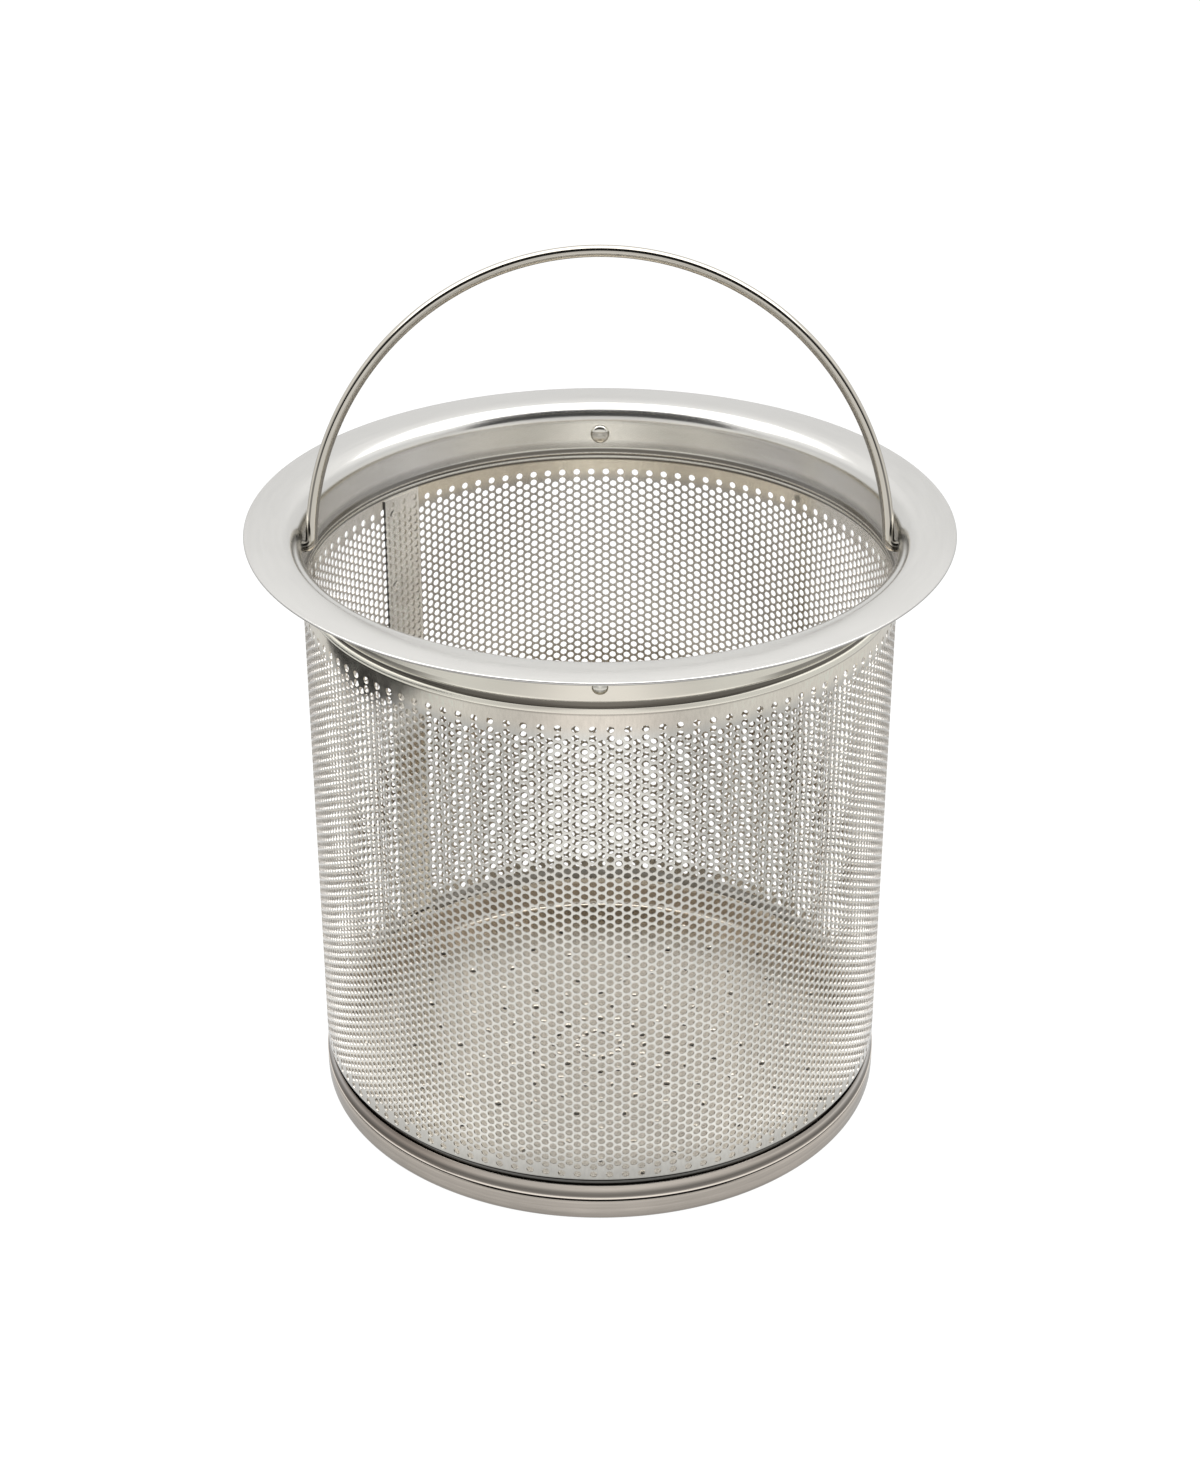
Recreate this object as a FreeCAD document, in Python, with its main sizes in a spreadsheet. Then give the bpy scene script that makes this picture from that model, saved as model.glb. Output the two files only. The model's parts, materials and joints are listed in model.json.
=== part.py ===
import FreeCAD, Part
import os
import re

import Sketcher

# Sink strainer: a stainless steel drain basket that hangs by its flange in a sink outlet.
# Millimetres. The origin is the centre of the underside, +Z is up, and the front faces -Y.

SIZES = (
    ("overall_height", 132.0, "underside to flange top"),
    ("flange_dia", 145.0, "outside of the flange"),
    ("flange_sheet", 0.6, "sheet of flange and collar"),
    ("flange_width", 11.6, "from the collar's inside to the flange's rim"),
    ("shoulder_radius", 4.0, "rounding from flange to collar, on the show side"),
    ("hem_drop", 9.6, "flange top to the rolled hem under the collar"),
    ("hem_height", 2.8, "height of the rolled hem"),
    ("hem_fold", 0.6, "how much thicker than the sheet the hem is, inwards"),
    ("screen_inset", 0.05, "screen inside the line of the collar's bore"),
    ("screen_sheet", 0.5, "sheet of the screen"),
    ("seam_clear", 0.05, "radial room of the screen and the floor in the ring"),
    ("lap_width", 9.0, "overlap of the rolled sheet"),
    ("lap_column", 11, "column of holes that the overlap lies on, counted from +X"),
    ("lap_margin", 3.0, "how far the overlap stops short of both ends of the screen"),
    ("ring_sheet", 0.6, "sheet of the bottom ring"),
    ("ring_height", 9.4, "height of the bottom ring"),
    ("ring_lip", 6.0, "width of the lip under the floor"),
    ("ring_round", 1.0, "rounding of the lower edge"),
    ("floor_sheet", 0.6, "sheet of the floor"),
    ("floor_rings", 2, "rings of drain holes"),
    ("floor_ring_holes", 16, "drain holes in a ring"),
    ("floor_margin", 13.1, "outermost ring of drain holes inside the lip"),
    ("floor_hole", 5.0, "drain hole across its corners"),
    ("wall_pairs", 14, "pairs of hole columns round the screen"),
    ("wall_rows", 6, "holes in a column"),
    ("wall_web", 2.2, "steel between neighbouring holes"),
    ("wall_margin", 3.4, "plain steel from the holes to the hem and to the ring"),
    ("wire_dia", 2.5, "wire of the bail"),
    ("bail_clear", 0.35, "room between the bow of the bail and the collar"),
    ("bail_rise", 0.5, "centre of the bow above the pivot"),
    ("bail_bend", 1.5, "bend of the wire into its pins"),
    ("bail_lean", 18.0, "how far the bail leans back, degrees"),
    ("pin_reach", 2.0, "pin end past the collar"),
    ("pivot_drop", 6.2, "flange top to the pivot"),
    ("pivot_clear", 0.05, "radial room of the pins in their holes"),
    ("dimple_drop", 6.6, "flange top to the centre of each dimple"),
    ("dimple_dia", 4.3, "foot of each embossed dimple"),
    ("dimple_tip", 2.2, "flat end of each dimple"),
    ("dimple_rise", 1.1, "dimple out of the collar's wall"),
)
ALIASES = {alias for alias, _, _ in SIZES}

# Round forms are drawn with flats where a true round would only add facets
SHOULDER_SIDES = 3
WIRE_SIDES = 10
DRAIN_SIDES = 6
QUARTER_TURN = 90
FULL_TURN = 360

# Shared places, each an expression on the sizes
TOP = "overall_height"
COLLAR_IN = "(flange_dia / 2 - flange_width)"
COLLAR_OUT = f"({COLLAR_IN} + flange_sheet)"
HEM_IN = f"({COLLAR_IN} - hem_fold)"
HEM_TOP = f"({TOP} - hem_drop)"
HEM_FOOT = f"({HEM_TOP} - hem_height)"
SHOULDER_X = f"({COLLAR_IN} + shoulder_radius)"
SHOULDER_Z = f"({TOP} - shoulder_radius)"
WALL_COLUMNS = "(2 * wall_pairs)"
COLUMN_TURN = f"(360 deg / {WALL_COLUMNS})"
SCREEN_OUT = f"({COLLAR_IN} - screen_inset)"
FLAT_OUT = f"({SCREEN_OUT} * cos({COLUMN_TURN} / 2))"
FLAT_IN = f"({FLAT_OUT} - screen_sheet)"
HOLE_WIDTH = f"(2 * {SCREEN_OUT} * sin({COLUMN_TURN} / 2) - wall_web)"
HOLE_SPAN = f"({HEM_FOOT} - ring_height - 2 * wall_margin)"
HOLE_PITCH = f"(({HOLE_SPAN} + wall_web) / (wall_rows + 0.5))"
HOLE_HEIGHT = f"({HOLE_PITCH} - wall_web)"
RING_IN = f"({SCREEN_OUT} + seam_clear)"
RING_OUT = f"({RING_IN} + ring_sheet)"
FLOOR_TOP = "(ring_sheet + floor_sheet)"
DRAIN_STEP = f"(({RING_OUT} - ring_lip - floor_margin) / floor_rings)"
PIVOT_LEVEL = f"({TOP} - pivot_drop)"
DIMPLE_LEVEL = f"({TOP} - dimple_drop)"
PIN_END = f"({COLLAR_OUT} + pin_reach)"
# Each bend of the bail touches the bow and the line of the pins
BOW = f"({COLLAR_IN} - bail_clear - wire_dia / 2)"
BEND_X = f"sqrt(({BOW} + bail_bend)^2 - (bail_bend - bail_rise)^2)"
TOUCH_Y = f"(bail_rise + (bail_bend - bail_rise) * {BOW} / ({BOW} + bail_bend))"


def bound(text):
    """The expression with each size pointing at its cell of the sheet."""
    return re.sub(r"[a-z_]+", lambda word: f"Sizes.{word[0]}" if word[0] in ALIASES else word[0], text)


def size(text):
    """The value of an expression on the sizes."""
    return float(sheet.evalExpression(bound(text)))


def make_sheet():
    """Spreadsheet of driving sizes, one alias a row."""
    page = doc.addObject("Spreadsheet::Sheet", "Sizes")
    for row, (alias, value, note) in enumerate(SIZES, start=1):
        page.set(f"A{row}", alias)
        page.set(f"B{row}", str(value))
        page.set(f"C{row}", note)
        page.setAlias(f"B{row}", alias)
    doc.recompute()
    return page


def new_body(name):
    """An empty body whose label is the piece's name."""
    body = doc.addObject("PartDesign::Body", name)
    body.Label = name
    return body


def origin_part(body, role):
    """A plane or axis of the body's own origin."""
    return next(part for part in body.Origin.OriginFeatures if part.Role == role)


def new_sketch(body, name, plane):
    """A sketch on one of the body's origin planes."""
    sketch = body.newObject("Sketcher::SketchObject", name)
    sketch.AttachmentSupport = [(origin_part(body, plane), "")]
    sketch.MapMode = "FlatFace"
    return sketch


def constrain(sketch, kind, places, text):
    """A dimension of the sketch, bound to an expression."""
    index = sketch.addConstraint(Sketcher.Constraint(kind, *places, size(text)))
    sketch.setExpression(f"Constraints[{index}]", bound(text))


def outline(sketch, corners):
    """Closed outline of straight sides. A corner is a pair of expressions."""
    points = [FreeCAD.Vector(size(x), size(y), 0) for x, y in corners]
    first = sketch.GeometryCount
    count = len(points)
    for index in range(count):
        sketch.addGeometry(Part.LineSegment(points[index], points[(index + 1) % count]))
    for index, (x, y) in enumerate(corners):
        follower = first + (index + 1) % count
        sketch.addConstraint(Sketcher.Constraint("Coincident", first + index, 2, follower, 1))
        constrain(sketch, "DistanceX", (-1, 1, first + index, 1), x)
        constrain(sketch, "DistanceY", (-1, 1, first + index, 1), y)


def circle(sketch, x, y, diameter):
    """A circle whose centre and diameter are expressions."""
    centre = FreeCAD.Vector(size(x), size(y), 0)
    index = sketch.addGeometry(Part.Circle(centre, FreeCAD.Vector(0, 0, 1), size(diameter) / 2))
    constrain(sketch, "DistanceX", (-1, 1, index, 3), x)
    constrain(sketch, "DistanceY", (-1, 1, index, 3), y)
    constrain(sketch, "Diameter", (index,), diameter)


def flats(x, y, radius, start, end, count):
    """Corners of a round stretch drawn with that many flats, from one angle to the other."""
    places = []
    for step in range(count + 1):
        angle = f"{start + (end - start) * step / count} deg"
        places.append((f"{x} + {radius} * cos({angle})", f"{y} + {radius} * sin({angle})"))
    return places


def polygon(sketch, x, y, corners_dia, sides):
    """A regular polygon with a corner at its top, sized across its corners."""
    start = QUARTER_TURN
    outline(sketch, flats(x, y, f"({corners_dia}) / 2", start, start + FULL_TURN, sides)[:-1])


def wall_hole(sketch, level):
    """One hole of the screen: a hexagon with its corners at top and bottom."""
    side = f"{HOLE_WIDTH} / 2"
    low = f"{level} - {HOLE_HEIGHT} / 4"
    high = f"{level} + {HOLE_HEIGHT} / 4"
    outline(sketch, (
        ("0", f"{level} + {HOLE_HEIGHT} / 2"),
        (f"-{side}", high),
        (f"-{side}", low),
        ("0", f"{level} - {HOLE_HEIGHT} / 2"),
        (side, low),
        (side, high),
    ))


def revolve(body, name, sketch):
    """A solid turned about the upright axis."""
    turned = body.newObject("PartDesign::Revolution", name)
    turned.Profile = sketch
    turned.ReferenceAxis = (sketch, ["V_Axis"])
    turned.Angle = FULL_TURN
    doc.recompute()
    return turned


def pocket(body, name, sketch, length, reverse=False, both=False):
    """A cut from the sketch plane. It has to take material away."""
    before = body.Tip.Shape.Volume
    cut = body.newObject("PartDesign::Pocket", name)
    cut.Profile = sketch
    cut.setExpression("Length", bound(length))
    cut.Reversed = reverse
    cut.Midplane = both
    doc.recompute()
    if cut.Shape.Volume >= before:
        raise ValueError(f"{name} cuts nothing")
    return cut


def polar(body, name, originals, count):
    """Copies of features, spread evenly round the upright axis."""
    spread = body.newObject("PartDesign::PolarPattern", name)
    spread.Originals = originals
    spread.Axis = (origin_part(body, "Z_Axis"), [""])
    spread.Angle = FULL_TURN
    spread.setExpression("Occurrences", bound(count))
    body.Tip = spread
    doc.recompute()
    return spread


def primitive(body, kind, name, sizes, place, axis=(0, 0, 1), angle="0"):
    """A primitive feature of the body. Sizes, place and turn are expressions."""
    form = body.newObject(f"PartDesign::{kind}", name)
    turn = FreeCAD.Rotation(FreeCAD.Vector(*axis), size(angle))
    form.Placement = FreeCAD.Placement(FreeCAD.Vector(*map(size, place)), turn)
    for letter, text in zip("xyz", place):
        form.setExpression(f"Placement.Base.{letter}", bound(text))
    for property_name, text in sizes.items():
        form.setExpression(property_name, bound(text))
    doc.recompute()
    return form


def top_flange():
    """Flange, rounded shoulder, and a collar that ends in a rolled hem."""
    body = new_body("top_flange")
    sketch = new_sketch(body, "flange_profile", "XZ_Plane")
    under_radius = "(shoulder_radius - flange_sheet)"
    outline(sketch, (
        ("flange_dia / 2", TOP),
        *flats(SHOULDER_X, SHOULDER_Z, "shoulder_radius", QUARTER_TURN, 2 * QUARTER_TURN, SHOULDER_SIDES),
        (COLLAR_IN, HEM_TOP),
        (HEM_IN, HEM_TOP),
        (HEM_IN, HEM_FOOT),
        (COLLAR_OUT, HEM_FOOT),
        *flats(SHOULDER_X, SHOULDER_Z, under_radius, 2 * QUARTER_TURN, QUARTER_TURN, SHOULDER_SIDES),
        ("flange_dia / 2", f"{TOP} - flange_sheet"),
    ))
    revolve(body, "flange_turned", sketch)
    dimple(body, "rear", 1)
    dimple(body, "front", -1)
    holes = new_sketch(body, "pivot_holes", "YZ_Plane")
    circle(holes, "0", PIVOT_LEVEL, "wire_dia + 2 * pivot_clear")
    pocket(body, "pivots", holes, "flange_dia", both=True)
    return body


def dimple(body, name, side):
    """Embossed dimple: it stands into the collar and is hollow from outside."""
    wall = f"({COLLAR_IN} + flange_sheet / 2)"
    boss = {
        "Radius1": "dimple_dia / 2",
        "Radius2": "dimple_tip / 2",
        "Height": "dimple_rise + flange_sheet / 2",
    }
    hollow = {
        "Radius1": "(dimple_dia - flange_sheet) / 2",
        "Radius2": "(dimple_tip - flange_sheet) / 2",
        "Height": "dimple_rise",
    }
    inward = str(QUARTER_TURN * side)
    across = (1, 0, 0)
    primitive(body, "AdditiveCone", f"dimple_{name}", boss, ("0", f"{side} * {wall}", DIMPLE_LEVEL),
              across, inward)
    primitive(body, "SubtractiveCone", f"hollow_{name}", hollow,
              ("0", f"{side} * {COLLAR_OUT}", DIMPLE_LEVEL), across, inward)


def side_screen():
    """Rolled punched sheet, drawn with a flat for each column of holes, and its lapped seam."""
    body = new_body("side_screen")
    height = f"({HEM_FOOT} - {FLOOR_TOP})"
    outside = {"Polygon": WALL_COLUMNS, "Circumradius": SCREEN_OUT, "Height": height}
    inside = dict(outside, Circumradius=f"{FLAT_IN} / cos({COLUMN_TURN} / 2)")
    half_column = f"{COLUMN_TURN} / 2 / 1 deg"
    for kind, name, sizes in (("AdditivePrism", "screen_outside", outside),
                              ("SubtractivePrism", "screen_inside", inside)):
        form = primitive(body, kind, name, sizes, ("0", "0", FLOOR_TOP), angle=half_column)
        form.setExpression("Placement.Rotation.Angle", bound(f"{COLUMN_TURN} / 2"))
    lap(body, height)

    low = new_sketch(body, "low_column", "XZ_Plane")
    high = new_sketch(body, "high_column", "XZ_Plane")
    upright = FreeCAD.Rotation(FreeCAD.Vector(0, 1, 0), size(f"{COLUMN_TURN} / 1 deg"))
    high.AttachmentOffset = FreeCAD.Placement(FreeCAD.Vector(), upright)
    high.setExpression("AttachmentOffset.Rotation.Angle", bound(COLUMN_TURN))
    lowest = f"ring_height + wall_margin + {HOLE_HEIGHT} / 2"
    for row in range(int(size("wall_rows"))):
        wall_hole(low, f"{lowest} + {row} * {HOLE_PITCH}")
        wall_hole(high, f"{lowest} + {row + 0.5} * {HOLE_PITCH}")
    cuts = [
        pocket(body, "low_holes", low, "flange_dia"),
        pocket(body, "high_holes", high, "flange_dia"),
    ]
    polar(body, "wall_holes", cuts, "wall_pairs")
    return body


def lap(body, height):
    """Inner end of the rolled sheet, which overlaps the outer end along one column of holes."""
    turn = f"(round(lap_column) * {COLUMN_TURN})"
    reach = f"({FLAT_IN} - screen_sheet)"
    corner = (
        f"{reach} * cos({turn}) + lap_width / 2 * sin({turn})",
        f"{reach} * sin({turn}) - lap_width / 2 * cos({turn})",
        f"{FLOOR_TOP} + lap_margin",
    )
    strip = {"Length": "screen_sheet", "Width": "lap_width", "Height": f"{height} - 2 * lap_margin"}
    form = primitive(body, "AdditiveBox", "lap_seam", strip, corner, angle=f"{turn} / 1 deg")
    form.setExpression("Placement.Rotation.Angle", bound(turn))


def floor_plate():
    """Flat disc on the lip of the ring, with rings of drain holes."""
    body = new_body("floor_plate")
    sketch = new_sketch(body, "floor_outline", "XY_Plane")
    circle(sketch, "0", "0", f"2 * {SCREEN_OUT}")
    sketch.setExpression("AttachmentOffset.Base.z", bound("ring_sheet"))
    disc = body.newObject("PartDesign::Pad", "floor_disc")
    disc.Profile = sketch
    disc.setExpression("Length", bound("floor_sheet"))
    doc.recompute()
    for ring in range(1, int(size("floor_rings")) + 1):
        hole = new_sketch(body, f"drain_{ring}", "XY_Plane")
        turn = "180 deg / floor_ring_holes" if ring % 2 else "0 deg"
        reach = f"{ring} * {DRAIN_STEP}"
        polygon(hole, f"{reach} * cos({turn})", f"{reach} * sin({turn})", "floor_hole", DRAIN_SIDES)
        cut = pocket(body, f"drain_cut_{ring}", hole, f"2 * {FLOOR_TOP}", reverse=True)
        polar(body, f"drain_ring_{ring}", [cut], "floor_ring_holes")
    return body


def bottom_ring():
    """Rolled band round the foot, with a lip under the floor."""
    body = new_body("bottom_ring")
    sketch = new_sketch(body, "ring_profile", "XZ_Plane")
    outline(sketch, (
        (f"{RING_OUT} - ring_lip", "0"),
        (f"{RING_OUT} - ring_round", "0"),
        (RING_OUT, "ring_round"),
        (RING_OUT, "ring_height"),
        (RING_IN, "ring_height"),
        (RING_IN, "ring_sheet"),
        (f"{RING_OUT} - ring_lip", "ring_sheet"),
    ))
    revolve(body, "ring_turned", sketch)
    return body


def carry_handle():
    """Wire bail: a round bow that bends outwards into two pins in the collar."""
    body = new_body("carry_handle")
    path = new_sketch(body, "bail_path", "XZ_Plane")
    bail_route(path)
    section = new_sketch(body, "bail_section", "YZ_Plane")
    section.setExpression("AttachmentOffset.Base.z", bound(f"-{BEND_X}"))
    polygon(section, "0", "0", "wire_dia", WIRE_SIDES)
    doc.recompute()
    wire = body.newObject("PartDesign::AdditivePipe", "bail_wire")
    wire.Profile = section
    wire.Spine = path
    doc.recompute()
    pin = {"Radius": "wire_dia / 2", "Height": f"{PIN_END} - {BEND_X}"}
    for name, side in (("left", -1), ("right", 1)):
        primitive(body, "AdditiveCylinder", f"pin_{name}", pin, (f"{side} * {BEND_X}", "0", "0"),
                  (0, 1, 0), str(QUARTER_TURN * side))
    back = FreeCAD.Rotation(FreeCAD.Vector(-1, 0, 0), size("bail_lean"))
    body.Placement = FreeCAD.Placement(FreeCAD.Vector(0, 0, size(PIVOT_LEVEL)), back)
    body.setExpression("Placement.Base.z", bound(PIVOT_LEVEL))
    body.setExpression("Placement.Rotation.Angle", bound("bail_lean"))
    doc.recompute()
    return body


def bail_route(path):
    """Centre line of the wire between its pins: bend, bow, bend."""
    bend_x = size(BEND_X)
    bend = size("bail_bend")
    rise = size("bail_rise")
    bow = size(BOW)
    touch_y = size(TOUCH_Y)
    touch_x = bend_x * bow / (bow + bend)
    slant = bend / 2 ** 0.5
    arcs = (
        ((-bend_x, 0), (-bend_x + slant, bend - slant), (-touch_x, touch_y)),
        ((-touch_x, touch_y), (0, rise + bow), (touch_x, touch_y)),
        ((touch_x, touch_y), (bend_x - slant, bend - slant), (bend_x, 0)),
    )
    for points in arcs:
        path.addGeometry(Part.Arc(*(FreeCAD.Vector(x, y, 0) for x, y in points)))
    centres = ((f"-{BEND_X}", "bail_bend"), ("0", "bail_rise"), (BEND_X, "bail_bend"))
    radii = ("bail_bend", BOW, "bail_bend")
    for index, ((x, y), radius) in enumerate(zip(centres, radii)):
        constrain(path, "DistanceX", (-1, 1, index, 3), x)
        constrain(path, "DistanceY", (-1, 1, index, 3), y)
        constrain(path, "Radius", (index,), radius)
    for index in range(len(arcs)):
        for end in (1, 2):
            on_pin_line = abs(path.getPoint(index, end).y) < touch_y / 2
            if on_pin_line:
                outward = "-" if path.getPoint(index, end).x < 0 else ""
                constrain(path, "DistanceX", (-1, 1, index, end), f"{outward}{BEND_X}")
            else:
                constrain(path, "DistanceY", (-1, 1, index, end), TOUCH_Y)


def check(bodies):
    """Stop if any object failed or a piece isn't one sound solid."""
    for item in doc.Objects:
        if "Invalid" in item.State or "Error" in item.State:
            raise ValueError(f"{item.Name} failed: {item.State}")
    for body in bodies:
        shape = body.Shape
        if shape.isNull() or not shape.isValid() or len(shape.Solids) != 1:
            raise ValueError(f"{body.Label} isn't one valid solid")


doc = FreeCAD.newDocument("sink_strainer")
sheet = make_sheet()
pieces = [top_flange(), side_screen(), floor_plate(), bottom_ring(), carry_handle()]
doc.recompute()
check(pieces)
os.makedirs("parts", exist_ok=True)
for piece in pieces:
    piece.Shape.exportStep(f"parts/{piece.Label}.step")
    print(piece.Label, round(piece.Shape.Volume, 2))
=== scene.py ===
import json
import math

import bpy
import numpy as np
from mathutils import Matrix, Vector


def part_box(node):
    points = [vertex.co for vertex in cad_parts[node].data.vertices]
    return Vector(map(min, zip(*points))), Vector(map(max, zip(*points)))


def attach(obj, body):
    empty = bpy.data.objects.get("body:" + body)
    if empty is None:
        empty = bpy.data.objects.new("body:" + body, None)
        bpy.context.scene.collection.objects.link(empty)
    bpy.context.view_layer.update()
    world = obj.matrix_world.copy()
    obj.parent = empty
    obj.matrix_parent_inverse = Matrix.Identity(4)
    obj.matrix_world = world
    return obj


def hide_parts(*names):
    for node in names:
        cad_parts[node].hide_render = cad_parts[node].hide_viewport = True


bl_info = {
    "name": "Sink Strainer",
    "version": (1, 0, 0),
    "blender": (4, 5, 0),
    "location": "View3D > Sidebar > Strainer",
    "description": "Dresses a drain basket with punched, satin and polished steel",
    "category": "Add Mesh",
}

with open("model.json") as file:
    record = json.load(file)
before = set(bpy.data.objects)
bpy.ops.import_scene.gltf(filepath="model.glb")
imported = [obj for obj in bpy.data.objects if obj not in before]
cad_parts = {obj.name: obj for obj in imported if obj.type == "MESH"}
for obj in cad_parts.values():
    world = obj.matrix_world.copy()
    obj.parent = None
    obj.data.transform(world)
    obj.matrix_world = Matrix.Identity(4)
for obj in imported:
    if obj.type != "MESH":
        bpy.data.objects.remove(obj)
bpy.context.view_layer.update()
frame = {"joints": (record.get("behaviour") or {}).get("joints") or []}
FLANGE_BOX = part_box("top_flange")
PIVOT = frame["joints"][0]["pos_m"]

MM = 0.001
TURN_SIDES = 240
HOLE_SIDES = 8
# Widens a hole with flat sides to the open area of a round one
ROUND_AREA = math.sqrt(2 * math.pi / (HOLE_SIDES * math.sin(2 * math.pi / HOLE_SIDES)))
WIRE_SIDES = 20
BASKET = "basket"
HANDLE = "handle"
# Points closer than this are one point
NEAR = 1e-6
WHITE = (1, 1, 1, 1)
# The screen's foot tucks in under this level, to go inside the ring
TUCK_TOP = 10.6 * MM
TUCK_HEIGHT = 0.9 * MM
TUCK_DEPTH = 0.7 * MM
# Level of the screen just under the collar's hem
HEM = 119.0 * MM
STAIN = (43.5 * MM, 42.5 * MM, 117.6 * MM)
SEAM_SHADOW = (0.10, 0.088, 0.072)
# Greyer, darker tint painted on the collar's inner face at the left and right, as shade
PALE_COLLAR = (0.86, 0.85, 0.83)
# Paler tint painted on the screen's inner margin at the left and right, as light
PALE_MARGIN = (0.9, 0.88, 0.84)
# Brown painted shade on the ring's upper band
BAND_BROWN = (0.22, 0.175, 0.145)
# Room round a pin in the collar's hole
PIN_PLAY = 0.05 * MM
DIMPLE_WALL = 0.6 * MM
# Radius and level of each point across a spot weld, in millimetres
WELD_PROFILE = [
    (1.05, -0.1), (1.05, 0.0), (0.85, 0.09), (0.6, 0.04), (0.4, -0.03), (0.02, -0.06), (0.02, -0.1)
]
WELDS = 6
TOP_WELD = 114.6 * MM
WELD_PITCH = 17.3 * MM
WELD_TURN = math.radians(138.2)
# The photo's camera, in metres, degrees and pixels
CAMERA_PLACE = (0, -0.5039, 0.3589)
LOOK_DOWN = 28.738
FOCAL_PIXELS = 2696.1
PHOTO_HEIGHT = 1461
SENSOR = 36


def distance(name, description, default, **more):
    """A length property."""
    return bpy.props.FloatProperty(
        name=name, description=description, default=default, unit="LENGTH", precision=5, **more
    )


def tint(name, description, default):
    """A colour property."""
    return bpy.props.FloatVectorProperty(
        name=name, description=description, default=default, size=3, subtype="COLOR", min=0, max=1
    )


class StrainerFlange(bpy.types.PropertyGroup):
    rim: distance("Rim", "Radius of the flange's rim", FLANGE_BOX[1].x - 0.01 * MM)
    top: distance("Top", "Level of the flange's show side", FLANGE_BOX[1].z)
    sheet: distance("Sheet", "Thickness of the flange and the collar", 0.6 * MM)
    collar: distance("Collar", "Radius inside the collar", 60.9 * MM)
    shoulder: distance("Shoulder", "Rounding from the flange to the collar", 4 * MM)
    dimple: distance("Dimple", "Radius of each embossed dimple", 2.15 * MM)
    dimple_level: distance("Dimple level", "Height of the dimples over the floor", 125.4 * MM)
    dimple_rise: distance("Dimple rise", "Height of each dimple out of the wall", 1.1 * MM)
    colour: tint("Colour", "Satin steel of the flange", (0.63, 0.62, 0.597))
    wall: tint("Wall", "Warmer steel of the collar", (0.71, 0.67, 0.59))
    # Painted light: the collar's inner face is painted lighter than its outer face
    wall_inside: tint("Wall inside", "Brighter inner face of the collar", (0.97, 0.94, 0.85))


class StrainerScreen(bpy.types.PropertyGroup):
    radius: distance("Radius", "Outside of the punched sheet", 61.2 * MM)
    sheet: distance("Sheet", "Thickness of the punched sheet", 0.3 * MM)
    hole: distance("Hole", "Diameter of a punched hole", 1.5 * MM)
    pairs: bpy.props.IntProperty(
        name="Column pairs", description="Pairs of hole columns round the sheet", default=116, min=16
    )
    rows: bpy.props.IntProperty(
        name="Rows", description="Holes in a long column", default=56, min=8
    )
    low: distance("Lowest row", "Level of the lowest holes", 11.9 * MM)
    high: distance("Highest row", "Level of the highest holes", 116.2 * MM)
    foot: distance("Foot", "Level of the sheet's lower edge", 1.3 * MM)
    top: distance("Top", "Level of the sheet's upper edge", 120.4 * MM)
    seam_turn: bpy.props.FloatProperty(
        name="Seam", description="Direction of the lapped seam", default=math.radians(132.2), subtype="ANGLE"
    )
    colour: tint("Colour", "Bright rolled steel of the screen", (0.66, 0.645, 0.60))
    # Painted shade and light: inside is the sheet's steel painted darker, and margin_inside and lap painted
    # lighter, on the inner faces
    inside: tint("Inside", "Duller inner face of the screen", (0.54, 0.51, 0.46))
    margin: tint("Margin", "Straw tint of the plain sheet over the holes", (0.67, 0.615, 0.54))
    margin_inside: tint("Margin inside", "The same tint on the inner face", (0.83, 0.755, 0.61))
    lap: tint("Lap", "Inner face of the lapped seam", (1.0, 0.965, 0.89))


class StrainerFloor(bpy.types.PropertyGroup):
    radius: distance("Radius", "Outside of the floor's turned-up rim", 60.05 * MM)
    level: distance("Level", "Upper face of the floor", 1.2 * MM)
    rim: distance("Rim", "Level of the turned-up rim", 8.6 * MM)
    hole: distance("Drain hole", "Radius of a drain hole", 0.65 * MM)
    rings: bpy.props.IntProperty(name="Rings", description="Rings of drain holes", default=10, min=1)
    ring_holes: bpy.props.IntProperty(name="Holes in a ring", description="Drain holes in a ring", default=16)
    colour: tint("Colour", "Bright rolled steel of the floor", (0.65, 0.605, 0.53))
    # Brown painted shade on the turned-up wall
    wall: tint("Wall", "Brown tint of the turned-up wall", (0.47, 0.40, 0.325))


class StrainerRing(bpy.types.PropertyGroup):
    radius: distance("Radius", "Outside of the bottom ring", 61.35 * MM)
    height: distance("Height", "Height of the bottom ring", 8.7 * MM)
    groove: distance("Groove", "Level of the groove between its two bands", 5.25 * MM)
    # Painted shade: the ring's tint is darker than the other steel, as shade near the table
    colour: tint("Colour", "Satin steel of the bottom ring", (0.44, 0.40, 0.355))


class StrainerBail(bpy.types.PropertyGroup):
    wire: distance("Wire", "Radius of the bail's wire", 1.25 * MM)
    bow: distance("Bow", "Radius of the bail's bow", 59.22 * MM)
    rise: distance("Rise", "Centre of the bow above the pivot", 0.5 * MM)
    bend: distance("Bend", "Radius of the bends into the pins", 1.5 * MM)
    pin: distance("Pin", "End of each pin from the middle", 63.4 * MM)
    lean: bpy.props.FloatProperty(
        name="Lean", description="How far the bail leans back", default=math.radians(18), subtype="ANGLE"
    )
    colour: tint("Colour", "Polished steel of the wire", (0.575, 0.542, 0.478))


class Channel:
    """A socket of a finish. Arithmetic on channels adds Math nodes."""

    def __init__(self, finish, socket):
        self.finish = finish
        self.socket = socket

    def maths(self, operation, first, second):
        return self.finish.node("ShaderNodeMath", {"operation": operation}, {0: first, 1: second})

    def __add__(self, other):
        return self.maths("ADD", self, other)

    def __radd__(self, other):
        return self.maths("ADD", other, self)

    def __sub__(self, other):
        return self.maths("SUBTRACT", self, other)

    def __rsub__(self, other):
        return self.maths("SUBTRACT", other, self)

    def __mul__(self, other):
        return self.maths("MULTIPLY", self, other)

    def __rmul__(self, other):
        return self.maths("MULTIPLY", other, self)


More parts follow.
